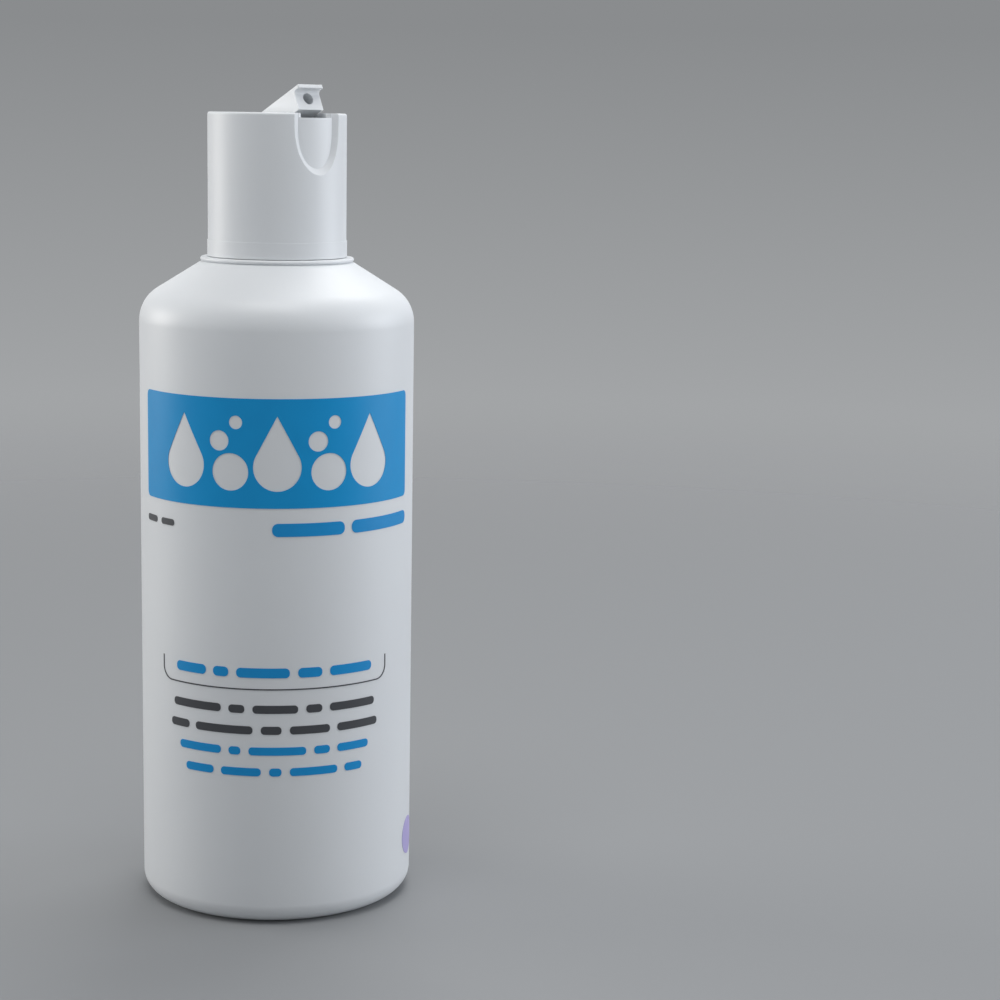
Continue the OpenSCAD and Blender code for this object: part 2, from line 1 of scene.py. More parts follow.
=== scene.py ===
import math

import bmesh
import bpy
import numpy as np
from mathutils import Matrix
from mathutils.geometry import delaunay_2d_cdt


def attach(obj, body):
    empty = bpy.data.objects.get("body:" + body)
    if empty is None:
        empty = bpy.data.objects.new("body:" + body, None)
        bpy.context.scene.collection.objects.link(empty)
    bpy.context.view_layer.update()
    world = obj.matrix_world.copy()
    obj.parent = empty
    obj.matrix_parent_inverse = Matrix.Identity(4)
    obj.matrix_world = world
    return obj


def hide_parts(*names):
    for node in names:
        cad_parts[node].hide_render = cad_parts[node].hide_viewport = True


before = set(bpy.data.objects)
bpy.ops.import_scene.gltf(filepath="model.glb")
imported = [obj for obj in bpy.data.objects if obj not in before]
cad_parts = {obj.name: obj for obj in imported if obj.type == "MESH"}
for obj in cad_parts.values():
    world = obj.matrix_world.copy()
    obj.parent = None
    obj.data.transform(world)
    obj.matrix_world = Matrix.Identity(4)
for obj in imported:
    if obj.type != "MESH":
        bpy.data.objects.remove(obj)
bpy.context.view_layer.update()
MM = 0.001

# Bottle.
# One blow-moulded bottle of white high-density polyethylene, a parison blown out against a
# satin mould. Its base is pushed up, its shoulder runs into a cone, and a bead ends the cone
# under the threaded neck. The mould's two halves leave a faint line on each side.
body_r = 34.0
straight_h = 145.2
heel_r = 5.0
foot_in_r = 25.0
foot_edge_r = 0.7
pushup_h = 2.4
shoulder_r = 9.6
bead_r = 18.95
bead_z = 160.2
bead_half = 0.5
cone_foot_fillet = 0.35
wall_t = 1.1
base_t = 1.3
neck_root_r = 14.55
neck_bore_r = 13.25
rim_z = 179.5
rim_edge_r = 0.3
neck_foot_r = 0.4
thread_turns, thread_pitch, thread_depth = 1.25, 4.0, 0.8
seam_h = 0.05
seam_half = 0.35
seam_foot_z, seam_run_in = 1.0, 3.0
outer_skin = 0.6
cone_slope = 0.62
pinch_w = 0.8
pinch_h = 0.3
pinch_end = 0.8


def arc(centre, r, start, end, n):
    """n points on an arc: the centre plus r times (cos, sin) of an angle from start to end, in degrees."""
    a = np.radians(np.linspace(start, end, n))
    return np.stack([centre[0] + r * np.cos(a), centre[1] + r * np.sin(a)], 1)


def line(start, end, n):
    """n points from start to end at equal steps, both ends left out."""
    t = (np.arange(1, n + 1) / (n + 1))[:, None]
    return np.array(start) * (1 - t) + np.array(end) * t


def grid_faces(rows, columns, wrap_columns=False):
    """Quads of a grid of points numbered row by row: each quad joins a point, its right
    neighbour and the two above them, and wrap_columns joins the last column to the first."""
    i, j = np.meshgrid(np.arange(rows - 1), np.arange(columns - (not wrap_columns)), indexing="ij")
    k = (j + 1) % columns
    low, high = i * columns, (i + 1) * columns
    return np.stack([low + j, low + k, high + k, high + j], -1).reshape(-1, 4)


def add_piece(name, points, faces, sharp=35):
    """A new object from points in millimetres and faces as lists of point numbers, shaded smooth
    except over edges that bend by more than sharp degrees."""
    mesh = bpy.data.meshes.new(name)
    mesh.from_pydata((np.asarray(points) * MM).tolist(), [], [list(map(int, f)) for f in faces])
    mesh.validate()
    mesh.shade_smooth()
    mesh.set_sharp_from_angle(angle=math.radians(sharp))
    piece = bpy.data.objects.new(name, mesh)
    bpy.context.scene.collection.objects.link(piece)
    return piece


def revolved(name, profile, angles, bump=None, sharp=35):
    """A profile of (radius, height) points turned about Z: each point goes to
    (radius cos a, radius sin a, height) for each angle a. A first or last radius of zero is
    closed with one pole point. bump(radius, height, a) gives a height outwards for each point."""
    a = np.asarray(angles)
    r, z = np.asarray(profile, float).T
    poles = [k for k in (0, len(r) - 1) if r[k] < 1e-6]
    body = np.setdiff1d(np.arange(len(r)), poles)
    rr = np.repeat(r[body][:, None], len(a), 1)
    zz = np.repeat(z[body][:, None], len(a), 1)
    if bump is not None:
        dr, dz = bump(rr, zz, a[None, :])
        rr, zz = rr + dr, zz + dz
    points = np.stack([rr * np.cos(a), rr * np.sin(a), zz], -1).reshape(-1, 3)
    faces = grid_faces(len(body), len(a), True).tolist()
    for k in poles:
        pole = len(points)
        points = np.vstack([points, [0, 0, z[k]]])
        row = 0 if k == 0 else (len(body) - 1) * len(a)
        ring = row + np.arange(len(a))
        pair = (np.roll(ring, -1), ring) if k == 0 else (ring, np.roll(ring, -1))
        faces += [[pole, int(p), int(q)] for p, q in zip(*pair)]
    return add_piece(name, points, faces, sharp)


def bottle_profile():
    """Half section of the blown bottle, from the middle of the base out, up the outside, over
    the rim and down the inside to the middle of the floor."""
    shoulder = np.array([body_r - shoulder_r, straight_h])
    to_bead = np.array([bead_r - bead_half, bead_z]) - shoulder
    reach = math.hypot(*to_bead)
    tangent = math.degrees(math.atan2(to_bead[1], to_bead[0]) - math.acos(shoulder_r / reach))
    outwards = np.array([math.cos(math.radians(tangent)), math.sin(math.radians(tangent))])
    dome_r = (foot_in_r ** 2 + pushup_h ** 2) / (2 * pushup_h)
    dome_z = pushup_h - dome_r
    bead_c = [bead_r - bead_half, bead_z + bead_half]
    bead_top = bead_z + 2 * bead_half
    slope = math.radians(90 - tangent)
    under_bead = [bead_c[0] + 0.1, bead_z - 0.03]

    def dome(radii, lift):
        return np.stack([radii, dome_z + np.sqrt((dome_r + lift) ** 2 - radii ** 2)], 1)

    inner_shoulder_r = shoulder_r - wall_t
    inner_top = bead_top - wall_t
    inner_tangent = shoulder + inner_shoulder_r * outwards
    inner_end_r = inner_tangent[0] - (inner_top - inner_tangent[1]) / math.tan(slope)
    floor_r = math.sqrt((dome_r + base_t) ** 2 - (base_t - dome_z) ** 2)
    parts = [
        dome(np.linspace(0, foot_in_r - foot_edge_r, 16), 0),
        arc([foot_in_r + 0.1, foot_edge_r], foot_edge_r, -105, -90, 5),
        line([foot_in_r + 0.1, 0], [body_r - heel_r, 0], 3),
        arc([body_r - heel_r, heel_r], heel_r, -90, 0, 22),
        line([body_r, heel_r], [body_r, straight_h], 34),
        arc(shoulder, shoulder_r, 0, tangent, 26),
        line(shoulder + shoulder_r * outwards, under_bead, 8),
        arc(bead_c, bead_half, -84, 90, 14),
        line([bead_c[0], bead_top], [neck_root_r + cone_foot_fillet, bead_top], 4),
        arc([neck_root_r + cone_foot_fillet, bead_top + cone_foot_fillet],
            cone_foot_fillet, 270, 180, 5),
        line([neck_root_r, bead_top + 0.5], [neck_root_r, rim_z - rim_edge_r], 8),
        arc([neck_root_r - rim_edge_r, rim_z - rim_edge_r], rim_edge_r, 0, 90, 6),
        arc([neck_bore_r + rim_edge_r, rim_z - rim_edge_r], rim_edge_r, 90, 180, 6),
        line([neck_bore_r, rim_z - rim_edge_r], [neck_bore_r, inner_top + neck_foot_r], 8),
        arc([neck_bore_r + neck_foot_r, inner_top + neck_foot_r], neck_foot_r, 180, 270, 5),
        line([neck_bore_r + neck_foot_r, inner_top], [inner_end_r, inner_top], 3),
        [[inner_end_r, inner_top]],
        line([inner_end_r, inner_top], inner_tangent, 8),
        arc(shoulder, inner_shoulder_r, tangent, 0, 18),
        line([body_r - wall_t, straight_h], [body_r - wall_t, heel_r], 14),
        arc([body_r - heel_r, heel_r + base_t - wall_t], heel_r - wall_t, 0, -90, 12),
        line([body_r - heel_r, base_t], [floor_r, base_t], 2),
        dome(np.linspace(floor_r, 0, 12), base_t),
    ]
    return np.vstack([np.asarray(p, float) for p in parts])


def mould_seam(r, z, a):
    """Height of the two parting lines outwards: a rounded ridge where the mould's halves met, at
    a = 0 and 180 degrees, and of the weld line under the base, a rib along the same plane. The
    outer skin is told from the inner one by its radius on the body, and by r + slope z on the
    shoulder, and the base's underside by its parabola."""
    across = np.abs(r * np.sin(a))
    ridge = np.clip(1 - (across / seam_half) ** 2, 0, 1)
    on_body = r > body_r - outer_skin
    past_cone = r + cone_slope * (z - straight_h) > body_r
    on_shoulder = (z > straight_h) & (z < bead_z - outer_skin) & past_cone
    rise = np.clip((z - seam_foot_z) / seam_run_in, 0, 1)
    rib = np.clip(1 - (across / (pinch_w / 2)) ** 4, 0, 1)
    under = (z <= pushup_h * (1 - (r / foot_in_r) ** 2) + 0.2) & (z < pushup_h + 0.05)
    under &= r < foot_in_r - pinch_end
    return seam_h * ridge * (on_body | on_shoulder) * rise, -pinch_h * rib * under


def screw_ridge(name, root_r, foot_z, turns, pitch, depth, sink=0.2, n=120):
    """A trapezoid carried along a helix. At a share u of its length the section stands at an
    angle of u times the turns, its middle is u times the rise above foot_z, and its crest is
    depth away from the root, less over the first and last tenth."""
    u = np.linspace(0, 1, n)
    a = 2 * math.pi * turns * u
    h = depth * np.clip(np.minimum(u, 1 - u) * 10, 0.02, 1)
    root, crest = 0.25 * pitch, 0.12 * pitch
    foot, top = root_r - sink + 0 * u, root_r + h
    radii = np.stack([foot, top, top, foot], 1)
    rise = foot_z + turns * pitch * u[:, None] + np.array([-root, -crest, crest, root])
    points = np.stack([radii * np.cos(a)[:, None], radii * np.sin(a)[:, None], rise], -1).reshape(-1, 3)
    faces = grid_faces(n, 4, True)
    ends = np.array([[3, 2, 1, 0], [4 * n - 4, 4 * n - 3, 4 * n - 2, 4 * n - 1]])
    faces = np.vstack([faces, ends])[:, ::-1]
    return add_piece(name, points, faces)


around = np.linspace(0, 2 * math.pi, 288, endpoint=False)
near_seam = np.radians([-0.6, -0.35, -0.15, 0.15, 0.35, 0.6])
angles = np.unique(np.round(np.concatenate([around, near_seam % (2 * math.pi), near_seam + math.pi]), 7))
bottle = revolved("bottle_shell", bottle_profile(), angles, mould_seam)
thread_z = rim_z - (thread_turns + 1) * thread_pitch
thread = screw_ridge("neck_thread", neck_root_r, thread_z, thread_turns, thread_pitch, thread_depth)


def linear(colour):
    """A hex colour in sRGB as linear red, green, blue and 1."""
    c = np.array([int(colour[i:i + 2], 16) / 255 for i in (1, 3, 5)])
    c = np.where(c <= 0.04045, c / 12.92, ((c + 0.055) / 1.055) ** 2.4)
    return (*map(float, c), 1.0)


def add_node(tree, kind, settings=None, links=None):
    """Adds one node. settings holds its own properties and the values of its inputs, and links
    holds the inputs that are fed, each as (node, output)."""
    node = tree.nodes.new(kind)
    for key, value in (settings or {}).items():
        if isinstance(key, str) and hasattr(node, key):
            setattr(node, key, value)
        else:
            node.inputs[key].default_value = value
    for key, (source, output) in (links or {}).items():
        tree.links.new(source.outputs[output], node.inputs[key])
    return node


drift_mm = 40
scatter_depth = 1.2 * MM


def moulded_plastic(name, tint, shade, roughness, grain_mm, grain_h, wave_mm, wave_h, scatter):
    """A moulded thermoplastic. Its colour drifts between tint and shade over some centimetres,
    its roughness varies a little, and its bump is the mould's fine grain on slow waves."""
    material = bpy.data.materials.new(name)
    material.use_nodes = True
    tree = material.node_tree
    tree.nodes.clear()
    place = (add_node(tree, "ShaderNodeTexCoord"), "Object")
    drift = add_node(tree, "ShaderNodeTexNoise", {"Scale": 1000 / drift_mm, "Detail": 2.0, "Roughness": 0.5},
                     {"Vector": place})
    colour = add_node(tree, "ShaderNodeMix", {"data_type": "RGBA", 6: linear(shade), 7: linear(tint)},
                      {0: (drift, "Fac")})
    gloss = add_node(tree, "ShaderNodeMapRange", {
        "From Min": 0.3, "From Max": 0.7, "To Min": roughness - 0.03, "To Max": roughness + 0.04,
    }, {"Value": (drift, "Fac")})
    wave = add_node(tree, "ShaderNodeTexNoise", {"Scale": 1000 / wave_mm, "Detail": 1.0}, {"Vector": place})
    grain = add_node(tree, "ShaderNodeTexNoise", {"Scale": 1000 / grain_mm, "Detail": 3.0, "Roughness": 0.6},
                     {"Vector": place})
    slow = add_node(tree, "ShaderNodeBump", {"Strength": 1.0, "Distance": wave_h * MM},
                    {"Height": (wave, "Fac")})
    fine = add_node(tree, "ShaderNodeBump", {"Strength": 1.0, "Distance": grain_h * MM},
                    {"Height": (grain, "Fac"), "Normal": (slow, "Normal")})
    shader = add_node(tree, "ShaderNodeBsdfPrincipled", {
        "IOR": 1.5, "Subsurface Weight": scatter, "Subsurface Scale": scatter_depth,
        "Subsurface Radius": (1.0, 0.95, 0.9),
    }, {"Base Color": (colour, 2), "Roughness": (gloss, "Result"), "Normal": (fine, "Normal")})
    add_node(tree, "ShaderNodeOutputMaterial", links={"Surface": (shader, "BSDF")})
    return material


# Blow-moulded HDPE takes the satin of its mould, and its wall is never quite even, so it gives
# soft wide highlights that waver slightly.
hdpe = moulded_plastic("blow_moulded_HDPE", "#DDE0E2", "#D8DBDE", roughness=0.42, grain_mm=0.45,
                       grain_h=0.010, wave_mm=24, wave_h=0.12, scatter=0.15)
for piece in (bottle, thread):
    piece.data.materials.append(hdpe)
    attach(piece, "bottle")
    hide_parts("bottle")

# Screen print.
# Opaque inks that are screened straight onto the flame-treated wall, each a film with a crisp
# edge: a blue panel with drops and bubbles left bare, blue and grey bars with a thin frame,
# and a lilac disc round the side.
ink_t = 0.1
ink_front = body_r + ink_t
ink_back = body_r + 0.01
panel_z, panel_h, panel_angle, panel_corner = 103.5, 26.2, 134, 1.4
drop_h, drop_pitch = 18.0, 12.0
letter_w, word_gap = 1.0, 2.0
title_z, title_h, note_h = 98.3, 3.2, 1.6
heading_z, heading_h = 63.4, 2.4
text_z, line_pitch, line_h, text_s = 54.4, 5.2, 2.0, -1.0
disc_d, disc_z, disc_turn = 9.7, 14.7, 76
tray_w, tray_z, tray_h, tray_corner, tray_line = 62.6, 59.2, 6.0, 3.4, 0.3
film_step = 1.1
cover_mm, weave_mm, weave_h = 6, 0.4, 0.006


def wrapped(s, z, r=ink_front):
    """Points on the wall: an arc length s from the front and a height z go to
    (r sin(s / body radius), -r cos(s / body radius), z)."""
    a = np.asarray(s) / body_r
    return np.stack([r * np.sin(a), -r * np.cos(a), np.asarray(z) + 0 * a], -1)


def soft_outline(w, h, r, n=10):
    """A rectangle about the origin whose corners are arcs of radius r, as a closed loop."""
    x, y = w / 2 - r, h / 2 - r
    corners = [(x, -y, -90), (x, y, 0), (-x, y, 90), (-x, -y, 180)]
    return np.vstack([arc((x, y), r, a, a + 90, n) for x, y, a in corners])


def filled_in(loop, step):
    """A closed loop with points added along each of its sides, no more than a step apart."""
    parts = []
    for a, b in zip(loop, np.roll(loop, -1, 0)):
        n = max(1, math.ceil(math.hypot(*(b - a)) / step))
        parts.append(a + (b - a) * np.arange(n)[:, None] / n)
    return np.vstack(parts)


def circle_outline(x, y, r, n=56):
    """A circle as a closed loop."""
    return arc((x, y), r, 0, 360 - 360 / n, n)


def drop_outline(x, y, h):
    """A drop as a closed loop: a circle, and two straight sides that run tangent to its tip."""
    r = h * 0.32
    touch = math.degrees(math.asin(r / (h - r)))
    return np.vstack([arc((x, y + r), r, 180 - touch, 360 + touch, 54), [[x, y + h]]])


def inside(points, loop):
    """Which points lie in a loop: those whose ray to the right crosses its sides an odd number of times."""
    x, y = points[:, :1], points[:, 1:]
    a, b = loop, np.roll(loop, -1, 0)
    over = (a[:, 1] > y) != (b[:, 1] > y)
    with np.errstate(divide="ignore", invalid="ignore"):
        cut = a[:, 0] + (y - a[:, 1]) / (b[:, 1] - a[:, 1]) * (b[:, 0] - a[:, 0])
    return (over & (x < cut)).sum(1) % 2 == 1


def panel_sheet():
    """The blue panel unrolled: triangles between its outline, the outlines left bare in it, and
    a grid of points that lets it follow the wall."""
    w = math.radians(panel_angle) * body_r
    outline = filled_in(soft_outline(w, panel_h, panel_corner), film_step) + [0, panel_z + panel_h / 2]
    foot = panel_z + (panel_h - drop_h) / 2
    bare = []
    for i in range(-2, 3):
        x = i * drop_pitch
        if i % 2 == 0:
            bare.append(filled_in(drop_outline(x, foot, drop_h), film_step))
        else:
            bare += [circle_outline(x + across * drop_pitch, foot + up * drop_h, r * drop_h)
                     for across, up, r in ((0.05, 0.25, 0.25), (-0.18, 0.66, 0.135), (0.17, 0.91, 0.09))]
    rows = np.linspace(panel_z + 1.5, panel_z + panel_h - 1.5, 12)
    xs, zs = np.meshgrid(np.arange(-w / 2 + 1, w / 2 - 0.5, film_step), rows)
    fill = np.stack([xs.ravel(), zs.ravel()], 1)
    fill = fill[inside(fill, outline)]
    points, edges = [*fill], []
    for loop in [outline, *bare]:
        first = len(points)
        points += [*loop]
        edges += [(first + k, first + (k + 1) % len(loop)) for k in range(len(loop))]
    flat, _, faces, *_ = delaunay_2d_cdt([tuple(map(float, p)) for p in points], edges, [], 0, 1e-5)
    flat = np.array([tuple(p) for p in flat])
    faces = np.array([f for f in faces if len(f) == 3])
    middle = flat[faces].mean(1)
    keep = inside(middle, outline)
    for loop in bare:
        keep &= ~inside(middle, loop)
    faces = faces[keep]
    a, b, c = flat[faces].transpose(1, 0, 2)
    turned = (b - a)[:, 0] * (c - a)[:, 1] - (b - a)[:, 1] * (c - a)[:, 0] < 0
    faces[turned] = faces[turned][:, ::-1]
    return flat, faces


def bar_sheet(s, z, w, h):
    """A bar with round ends, centred at s and z. A column at a distance d from the nearer end
    has a half height of h/2 - r + sqrt(r^2 - (r - d)^2), where d is under the end's radius r."""
    r = h * 0.45
    end = r * (1 - np.cos(np.linspace(0, math.pi / 2, 9)))
    u = np.unique(np.round(np.concatenate([end, np.linspace(r, w / 2, 2 + int(w / film_step))]), 6))
    u = np.concatenate([u, (w - u[::-1])[1:]])
    d = np.minimum(np.minimum(u, w - u), r)
    half = h / 2 - r + np.sqrt(np.maximum(r * r - (r - d) ** 2, 0))
    v = np.array([-1.0, 0.0, 1.0])[:, None]
    points = np.stack([s - w / 2 + u + 0 * v, z + v * half], -1).reshape(-1, 2)
    return points, grid_faces(3, len(u))


def row_length(words):
    """Length of a line of bars: the letters of its words and the gaps between them."""
    return letter_w * sum(words) + word_gap * (len(words) - 1)


def bar_row(s, z, h, words):
    """A line of bars about s with equal gaps, each as long as the letters that it stands for."""
    starts = s - row_length(words) / 2 + np.cumsum([0] + [w * letter_w + word_gap for w in words[:-1]])
    return [bar_sheet(a + w * letter_w / 2, z, w * letter_w, h) for a, w in zip(starts, words)]


def frame_sheet():
    """The thin open frame: a strip of the line's width carried along a path that comes down one
    end, round a corner, along the foot, round the other corner and up."""
    w, r = tray_w / 2, tray_corner
    path = np.vstack([
        line([-w, tray_z + tray_h], [-w, tray_z + r], 3),
        arc([-w + r, tray_z + r], r, 180, 270, 14), line([-w + r, tray_z], [w - r, tray_z], 60),
        arc([w - r, tray_z + r], r, 270, 360, 14), line([w, tray_z + r], [w, tray_z + tray_h], 3)])
    path = np.vstack([[[-w, tray_z + tray_h]], path, [[w, tray_z + tray_h]]]) + [text_s, 0]
    along = np.gradient(path, axis=0)
    along /= np.linalg.norm(along, axis=1)[:, None]
    inwards = np.stack([-along[:, 1], along[:, 0]], 1)
    points = np.stack([path, path + inwards * tray_line], 0).reshape(-1, 2)
    return points, grid_faces(2, len(path))


def disc_sheet(s, z, d):
    """A disc: rings of points about one middle point."""
    n, rings = 64, 5
    a = np.linspace(0, 2 * math.pi, n, endpoint=False)
    r = np.linspace(d / 2, d / 2 / rings, rings)[:, None]
    points = np.stack([s + r * np.cos(a), z + r * np.sin(a)], -1).reshape(-1, 2)
    ring = (rings - 1) * n + np.arange(n)
    middle = [[rings * n, int(p), int(q)] for p, q in zip(ring, np.roll(ring, -1))]
    return np.vstack([points, [[s, z]]]), grid_faces(rings, n, True).tolist() + middle


def ink_film(name, sheets):
    """Flat sheets of one ink wrapped on the wall, as a closed film: the sheets at its front
    radius, the same turned round at its back radius, and a rim along each free edge."""
    flat = np.vstack([points for points, _ in sheets])
    first = np.cumsum([0] + [len(points) for points, _ in sheets[:-1]])
    front = [[int(k) + int(f) for k in face] for f, (_, own) in zip(first, sheets) for face in own]
    steps = [(face[k], face[(k + 1) % len(face)]) for face in front for k in range(len(face))]
    free = set(steps) - {(b, a) for a, b in steps}
    n = len(flat)
    back = [[k + n for k in reversed(face)] for face in front]
    rim = [[a, a + n, b + n, b] for a, b in steps if (a, b) in free]
    points = np.vstack([wrapped(flat[:, 0], flat[:, 1]), wrapped(flat[:, 0], flat[:, 1], ink_back)])
    film = add_piece(name, points, front + back + rim)
    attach(film, "bottle")
    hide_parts(name.replace("_ink", "_print"))
    return film


def screen_ink(name, colour, shade, roughness=0.42):
    """A screened ink film: one strong pigment with the faint weave of the screen in its surface
    and a slight unevenness of its coverage."""
    material = bpy.data.materials.new(name)
    material.use_nodes = True
    tree = material.node_tree
    tree.nodes.clear()
    place = (add_node(tree, "ShaderNodeTexCoord"), "Object")
    cover = add_node(tree, "ShaderNodeTexNoise", {"Scale": 1000 / cover_mm, "Detail": 3.0}, {"Vector": place})
    mixed = add_node(tree, "ShaderNodeMix", {"data_type": "RGBA", 6: linear(shade), 7: linear(colour)},
                     {0: (cover, "Fac")})
    # The screen's threads are 0.12 mm apart, which is too fine to see, so the weave is drawn at 0.4 mm.
    weave = add_node(tree, "ShaderNodeTexNoise", {"Scale": 1000 / weave_mm, "Detail": 1.0}, {"Vector": place})
    bump = add_node(tree, "ShaderNodeBump", {"Strength": 1.0, "Distance": weave_h * MM},
                    {"Height": (weave, "Fac")})
    shader = add_node(tree, "ShaderNodeBsdfPrincipled",
                      {"IOR": 1.5, "Specular IOR Level": 0.25, "Roughness": roughness},
                      {"Base Color": (mixed, 2), "Normal": (bump, "Normal")})
    add_node(tree, "ShaderNodeOutputMaterial", links={"Surface": (shader, "BSDF")})
    return material


panel = ink_film("panel_ink", [panel_sheet()])
panel_half = math.radians(panel_angle) / 2 * body_r
title_words, note_words, heading_words = [18, 21], [5, 5], [9, 4, 13, 6, 12]
text_words = [[14, 4, 11, 4, 13], [6, 15, 5, 10, 12], [12, 3, 14, 4, 9], [8, 10, 3, 12, 5]]
text_rows = [bar_row(text_s, text_z - i * line_pitch, line_h, words) for i, words in enumerate(text_words)]
lines = ink_film("line_ink", bar_row(panel_half - row_length(title_words) / 2, title_z, title_h, title_words)
                 + bar_row(text_s, heading_z, heading_h, heading_words) + text_rows[2] + text_rows[3])
text = ink_film("text_ink", bar_row(row_length(note_words) / 2 - panel_half, title_z, note_h, note_words)
                + text_rows[0] + text_rows[1] + [frame_sheet()])
mark = ink_film("mark_ink", [disc_sheet(math.radians(disc_turn) * body_r, disc_z, disc_d)])
for film, slot, name, colour, shade in (
        (panel, "ink_blue", "screened_blue_ink", "#0493D1", "#028DCB"),
        (lines, "ink_blue", "screened_line_blue_ink", "#148FCF", "#0F88C8"),
        (text, "ink_grey", "screened_grey_ink", "#4A4C50", "#44464A"),
        (mark, "ink_lilac", "screened_lilac_ink", "#B5ACDA", "#ADA3D4")):
    film.data.materials.append(screen_ink(name, colour, shade))

# Liner.
# A ring of expanded polyethylene foam in the closure. The sealing tube presses it on the
# neck's rim, and it hides there completely.
foam = moulded_plastic("expanded_PE_foam", "#E4E4E0", "#DADAD6", roughness=0.8, grain_mm=0.5,
                       grain_h=0.05, wave_mm=8, wave_h=0.02, scatter=0.0)
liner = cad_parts["liner"]
liner.data.materials.clear()
liner.data.materials.append(foam)

# Closure.
# One injection-moulded screw closure of white polypropylene: skirt, deck, pocket, bearings,
# finger scoop and sealing tube. Its corners are broken by the tool's own small radii.
cap_edge = 0.15


def shaded_round(mesh, tolerance=0.03, upright=0.02):
    """Exact shading for walls that run round Z. A face counts as such a wall where its corners'
    radii differ by less than the tolerance in millimetres and its normal is level; each of its
    corners then gets the normal (x, y, 0) / radius, or its opposite on an inner wall."""
    count = len(mesh.loops)
    normals = np.empty(count * 3)
    mesh.corner_normals.foreach_get("vector", normals)
    normals = normals.reshape(-1, 3)
    corner = np.empty(count, int)
    mesh.loops.foreach_get("vertex_index", corner)
    points = np.empty(len(mesh.vertices) * 3)
    mesh.vertices.foreach_get("co", points)
    points = points.reshape(-1, 3)[corner]
    start, faces = np.empty(len(mesh.polygons), int), np.empty(len(mesh.polygons) * 3)
    mesh.polygons.foreach_get("loop_start", start)
    mesh.polygons.foreach_get("normal", faces)
    faces = faces.reshape(-1, 3)
    radius = np.hypot(points[:, 0], points[:, 1])
    spread = np.maximum.reduceat(radius, start) - np.minimum.reduceat(radius, start)
    face = np.repeat(np.arange(len(start)), np.diff(np.append(start, count)))
    away = points * [1, 1, 0] / np.maximum(radius, 1e-9)[:, None]
    facing = (away * faces[face]).sum(1)
    wall = (spread[face] < tolerance * MM) & (np.abs(faces[face, 2]) < upright) & (np.abs(facing) > 0.99)
    normals[wall] = away[wall] * np.sign(facing[wall])[:, None]
    mesh.normals_split_custom_set(normals.tolist())


def merged_copy(node, name, edge, segments=3):
    """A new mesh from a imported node: its loose triangles are merged, flat neighbours become one
    face, each corner gets a small rounded edge, and walls round Z get exact shading."""
    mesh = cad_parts[node].data.copy()
    shape = bmesh.new()
    shape.from_mesh(mesh)
    bmesh.ops.remove_doubles(shape, verts=shape.verts, dist=1e-6)
    bmesh.ops.dissolve_degenerate(shape, edges=shape.edges, dist=1e-6)
    bmesh.ops.dissolve_limit(shape, angle_limit=math.radians(0.5), verts=shape.verts, edges=shape.edges)
    shape.to_mesh(mesh)
    shape.free()
    mesh.materials.clear()
    mesh.shade_smooth()
    mesh.set_sharp_from_angle(angle=math.radians(25))
    piece = bpy.data.objects.new(name, mesh)
    bpy.context.scene.collection.objects.link(piece)
    bevel = piece.modifiers.new("edges", "BEVEL")
    bevel.width = edge * MM
    bevel.segments = segments
    bevel.limit_method = "ANGLE"
    bevel.angle_limit = math.radians(30)
    bevel.harden_normals = True
    graph = bpy.context.evaluated_depsgraph_get()
    piece.data = bpy.data.meshes.new_from_object(piece.evaluated_get(graph), depsgraph=graph)
    piece.data.name = name
    piece.modifiers.clear()
    shaded_round(piece.data)
    return piece


# Injection-moulded PP copies a finely spark-eroded tool, so its grain is finer and flatter than
# the bottle's, and its thick even walls hardly waver.
pp = moulded_plastic("injection_moulded_PP", "#DCDFE1", "#D8DBDE", roughness=0.42, grain_mm=0.3,
                     grain_h=0.006, wave_mm=15, wave_h=0.02, scatter=0.15)
cap = merged_copy("cap", "closure_shell", cap_edge)
cap.data.materials.append(pp)
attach(cap, "cap")
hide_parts("cap")

# Spout.
# One injection-moulded swivel spout of the same polypropylene, snapped into the pocket.
spout_edge = 0.1
spout = merged_copy("spout", "spout_shell", spout_edge)
spout.data.materials.append(pp)
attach(spout, "spout")
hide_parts("spout")

# Set.
# A plain grey studio floor that fades into a grey background, with painted light and shade in it:
# lighter below the horizon, as the lit floor, and darker above. Large soft lamps stand at both sides
# and above, so that the edges are lighter than the middle.
floor_r = 2.0
floor_fade = (0.25, 1.1)
wall_shade = (-0.15, 0.04)
fill_level, fill_top = (0.97, 0.40), 0.8
lamp_aim = (0, 0, 0.1)
camera_place, camera_turn, camera_lens = (0, -0.5724, 0.19486), (5.629, 9.365, -0.916), 82.43

ring = np.linspace(0, 2 * math.pi, 96, endpoint=False)
rings = np.linspace(floor_r / MM, 0, 9)
floor = revolved("studio_floor", np.stack([rings, 0 * rings], 1), ring)
grey = bpy.data.materials.new("matt_painted_floor")
grey.use_nodes = True
tree = grey.node_tree
tree.nodes.clear()
place = add_node(tree, "ShaderNodeTexCoord")
reach = add_node(tree, "ShaderNodeVectorMath", {"operation": "LENGTH"}, {0: (place, "Object")})
fade = add_node(tree, "ShaderNodeMapRange", {
    "interpolation_type": "SMOOTHSTEP", "From Min": floor_fade[0], "From Max": floor_fade[1],
}, {"Value": (reach, "Value")})
paint = add_node(tree, "ShaderNodeBsdfPrincipled",
                 {"Base Color": linear("#8A8C8E"), "Roughness": 0.6, "IOR": 1.45})
clear = add_node(tree, "ShaderNodeBsdfTransparent")
mixed = add_node(tree, "ShaderNodeMixShader",
                 links={0: (fade, "Result"), 1: (paint, "BSDF"), 2: (clear, "BSDF")})
add_node(tree, "ShaderNodeOutputMaterial", links={"Surface": (mixed, "Shader")})
floor.data.materials.append(grey)

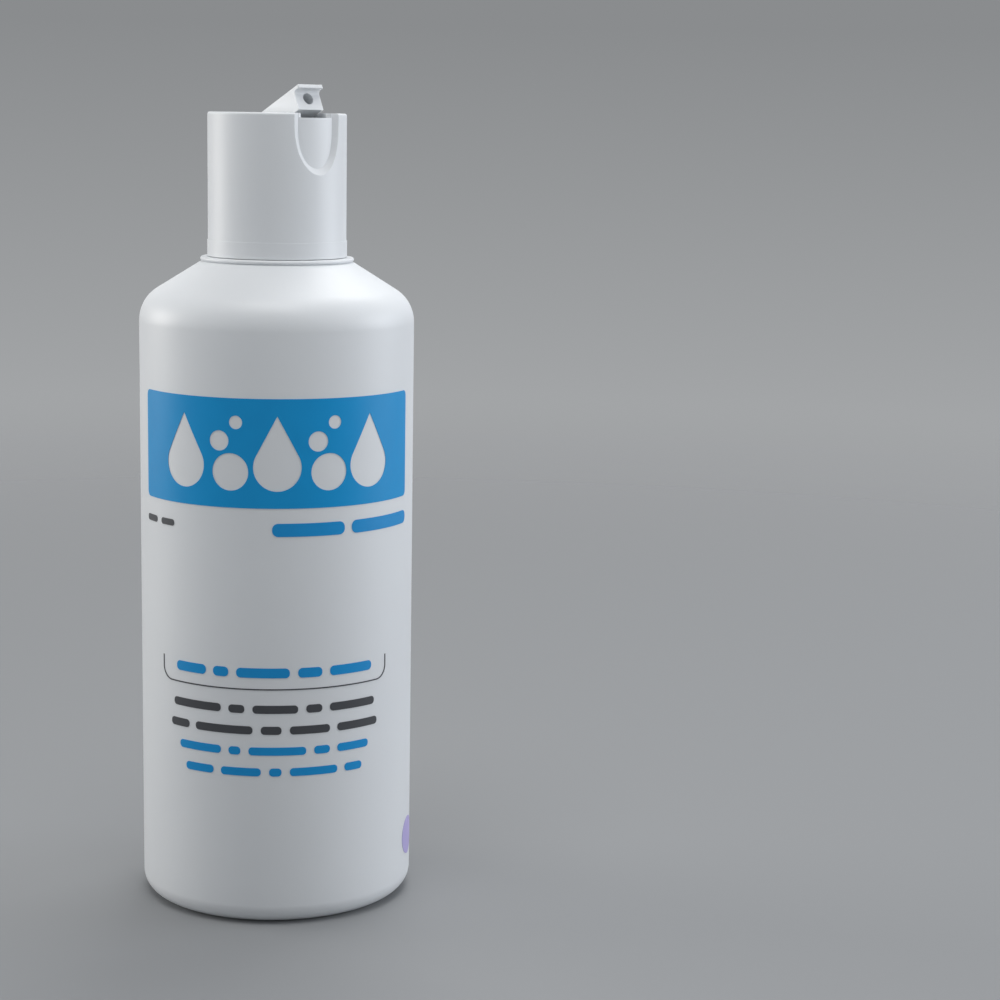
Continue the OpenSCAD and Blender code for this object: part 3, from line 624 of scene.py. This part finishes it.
world = bpy.data.worlds.new("studio")
bpy.context.scene.world = world
world.use_nodes = True
tree = world.node_tree
tree.nodes.clear()
sky = add_node(tree, "ShaderNodeTexCoord")
height = add_node(tree, "ShaderNodeSeparateXYZ", links={0: (sky, "Generated")})
# The background seen straight on is painted light and shade: lighter below the horizon, where it stands for
# the lit floor, and the floor's own grey above it.
rise = add_node(tree, "ShaderNodeMapRange", {"From Min": wall_shade[0], "From Max": wall_shade[1]},
                {"Value": (height, "Z")})
wall = add_node(tree, "ShaderNodeMix", {"data_type": "RGBA", 6: linear("#A7A9AB"), 7: linear("#8A8C8E")},
                {0: (rise, "Result")})
seen = add_node(tree, "ShaderNodeBackground", {"Strength": 1.0}, {"Color": (wall, 2)})
# The unseen fill is brighter round the horizon than overhead, as between white side walls.
level = add_node(tree, "ShaderNodeMapRange", {
    "From Min": 0.0, "From Max": fill_top, "To Min": fill_level[0], "To Max": fill_level[1],
}, {"Value": (height, "Z")})
fill = add_node(tree, "ShaderNodeBackground", {"Color": linear("#CCCED1")}, {"Strength": (level, "Result")})
rays = add_node(tree, "ShaderNodeLightPath")
straight = add_node(tree, "ShaderNodeMath", {"operation": "MAXIMUM"},
                    {0: (rays, "Is Camera Ray"), 1: (rays, "Is Transmission Ray")})
choice = add_node(tree, "ShaderNodeMixShader",
                  links={0: (straight, "Value"), 1: (fill, "Background"), 2: (seen, "Background")})
add_node(tree, "ShaderNodeOutputWorld", links={"Surface": (choice, "Shader")})


def stood(axes, place):
    """A matrix whose columns are three axes and a place."""
    return Matrix([[*row, p] for row, p in zip(np.stack(axes, 1), place)] + [[0, 0, 0, 1]])


def soft_lamp(name, place, size, watts, colour):
    """A rectangular area lamp at place, in metres, turned towards the bottle's middle."""
    data = bpy.data.lights.new(name, "AREA")
    data.shape = "RECTANGLE"
    data.size, data.size_y = size
    data.energy = watts
    data.color = linear(colour)[:3]
    lamp = bpy.data.objects.new(name, data)
    bpy.context.scene.collection.objects.link(lamp)
    away = np.array(place, float) - np.array(lamp_aim, float)
    away /= np.linalg.norm(away)
    side = np.cross([0, 0, 1.0], away)
    side /= np.linalg.norm(side)
    lamp.matrix_world = stood([side, np.cross(away, side), away], place)


soft_lamp("left_box", (-1.3, 0.45, 0.35), (0.7, 0.6), 8.5, "#FFFCF8")
soft_lamp("right_box", (1.3, 0.06, 0.35), (0.8, 0.6), 8.4, "#F4F8FF")
soft_lamp("key_box", (0.25, 0.55, 1.1), (0.7, 0.7), 6.0, "#FFFFFF")
soft_lamp("top_box", (-0.05, -0.26, 1.01), (0.6, 0.5), 4.4, "#FFFFFF")

# The camera stands at deck height and looks slightly down, a little to the right of the bottle.
yaw, pitch, roll = (math.radians(a) for a in camera_turn)
forward = np.array([math.sin(yaw) * math.cos(pitch), math.cos(yaw) * math.cos(pitch), -math.sin(pitch)])
right = np.array([math.cos(yaw), -math.sin(yaw), 0])
down = np.cross(forward, right)
right, down = math.cos(roll) * right + math.sin(roll) * down, math.cos(roll) * down - math.sin(roll) * right
data = bpy.data.cameras.new("camera")
data.sensor_width = 36
data.lens = camera_lens
camera = bpy.data.objects.new("camera", data)
bpy.context.scene.collection.objects.link(camera)
camera.matrix_world = stood([right, -down, -forward], camera_place)
bpy.context.scene.camera = camera
bpy.context.scene.view_settings.view_transform = "Standard"
